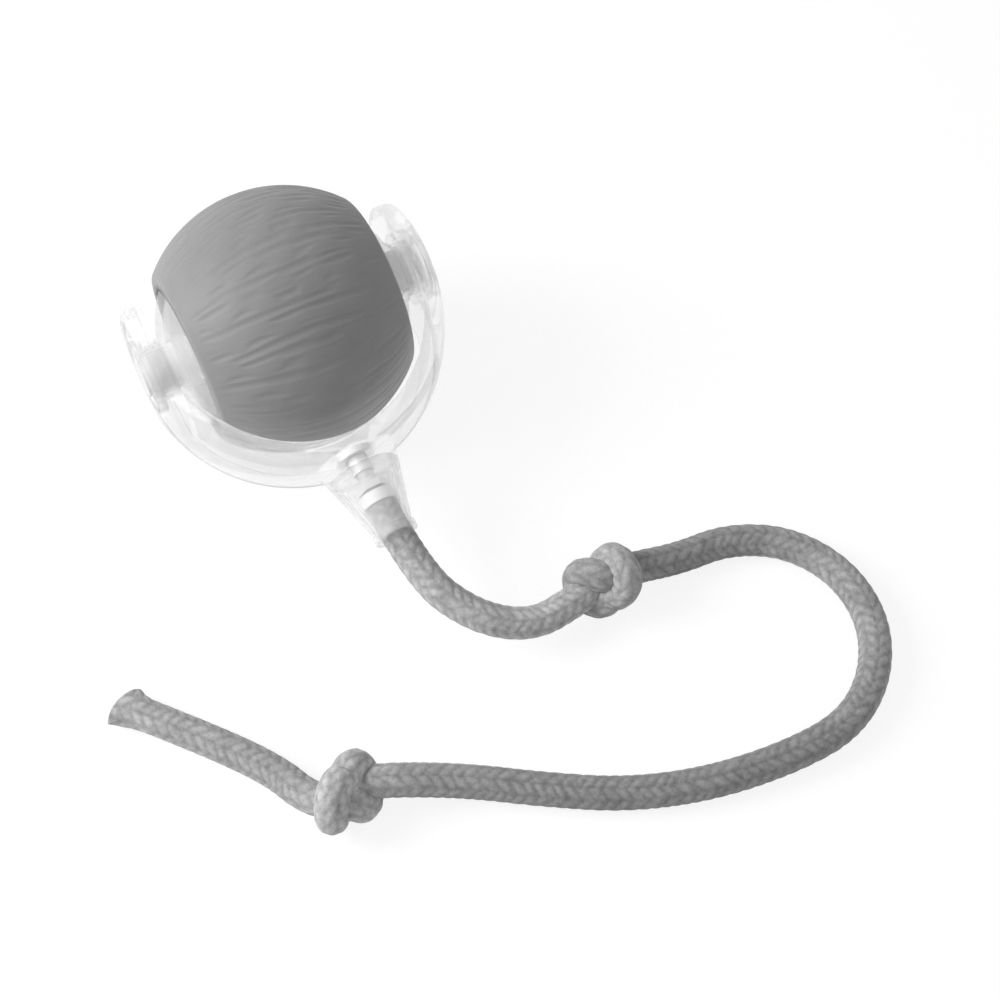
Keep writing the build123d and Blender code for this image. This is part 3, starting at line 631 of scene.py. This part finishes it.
def make_rope():
    """The braided rope with its two knots, as one mesh tube over one spline."""
    points, ranges = rope_route()
    line, distance = even_steps(spline_points(points), rope_ring_step)
    tangent, side, other = side_vectors(line)
    angle = np.linspace(0, 2 * pi, rope_sides, endpoint=False)[None, :]
    lay = braid(angle, distance[:, None])
    radius = rope_radii(line, distance, points, ranges)[:, None] - braid_depth * (1 - lay)
    outwards = np.cos(angle)[:, :, None] * side[:, None, :]
    outwards = outwards + np.sin(angle)[:, :, None] * other[:, None, :]
    rings = line[:, None, :] + radius[:, :, None] * outwards
    finish_cut_end(rings, line, tangent, distance)
    mesh = ring_mesh("rope_braided", rings, False)
    along = np.broadcast_to((distance / distance[-1])[:, None], lay.shape)
    for name, values in (("lay", lay), ("along", along)):
        attribute = mesh.attributes.new(name, "FLOAT", "POINT")
        attribute.data.foreach_set("value", values.reshape(-1).astype(np.float32))
    names = ["rope_anchor", "rope_lead", "near_knot", "rope_middle", "far_knot", "rope_tail"]
    rope = new_piece("rope_braided", mesh, "tail", "rope", rope_material(), *names)


# Stage, light and camera
def make_stage():
    """A white floor that the ball stands on."""
    far = floor_reach
    corners = [(-far, -far, 0), (far, -far, 0), (far, far, 0), (-far, far, 0)]
    mesh = bpy.data.meshes.new("floor")
    mesh.from_pydata(corners, [], [(0, 1, 2, 3)])
    mesh.materials.append(floor_material())
    floor = new_object("floor", mesh)


def make_world():
    """An even grey light all round that is seen as white."""
    world = bpy.data.worlds.new("studio")
    bpy.context.scene.world = world
    world.use_nodes = True
    tree = world.node_tree
    tree.nodes.clear()
    strength = tree.nodes.new("ShaderNodeMix")
    strength.inputs["A"].default_value = world_light
    strength.inputs["B"].default_value = 1.0
    tree.links.new(seen_ray(tree), strength.inputs["Factor"])
    background = tree.nodes.new("ShaderNodeBackground")
    background.inputs["Color"].default_value = white
    tree.links.new(strength.outputs["Result"], background.inputs["Strength"])
    output = tree.nodes.new("ShaderNodeOutputWorld")
    tree.links.new(background.outputs["Background"], output.inputs["Surface"])


def add_lamp(name, direction, distance, size, power):
    """A square soft lamp that looks at the ball from a direction."""
    data = bpy.data.lights.new(name, "AREA")
    data.size = size
    data.energy = power
    lamp = new_object(name, data)
    place = ball_center + Vector(direction).normalized() * distance
    turn = (place - ball_center).to_track_quat("Z", "Y").to_matrix().to_4x4()
    lamp.matrix_world = Matrix.Translation(place) @ turn


def make_lights():
    """A large soft key lamp from the upper left and a weak fill."""
    add_lamp("key", (-0.74, 0.26, 0.62), distance=0.5, size=0.28, power=2.3)
    add_lamp("fill", (0.6, -0.5, 0.6), distance=0.9, size=0.6, power=0.3)


def make_camera():
    """The photograph's camera."""
    data = bpy.data.cameras.new("camera")
    data.lens = camera_lens
    data.sensor_width = camera_sensor
    data.clip_start = camera_nearest
    camera = new_object("camera", data)
    right = camera_forward.cross(camera_up).normalized()
    up = right.cross(camera_forward).normalized()
    back = -camera_forward.normalized()
    rotation = Matrix((right, up, back)).transposed().to_4x4()
    camera.matrix_world = Matrix.Translation(camera_place) @ rotation
    bpy.context.scene.camera = camera


finish_cad_nodes()
make_grip_sleeve()
make_rope()
make_stage()
make_world()
make_lights()
make_camera()
bpy.context.scene.view_settings.view_transform = "Standard"
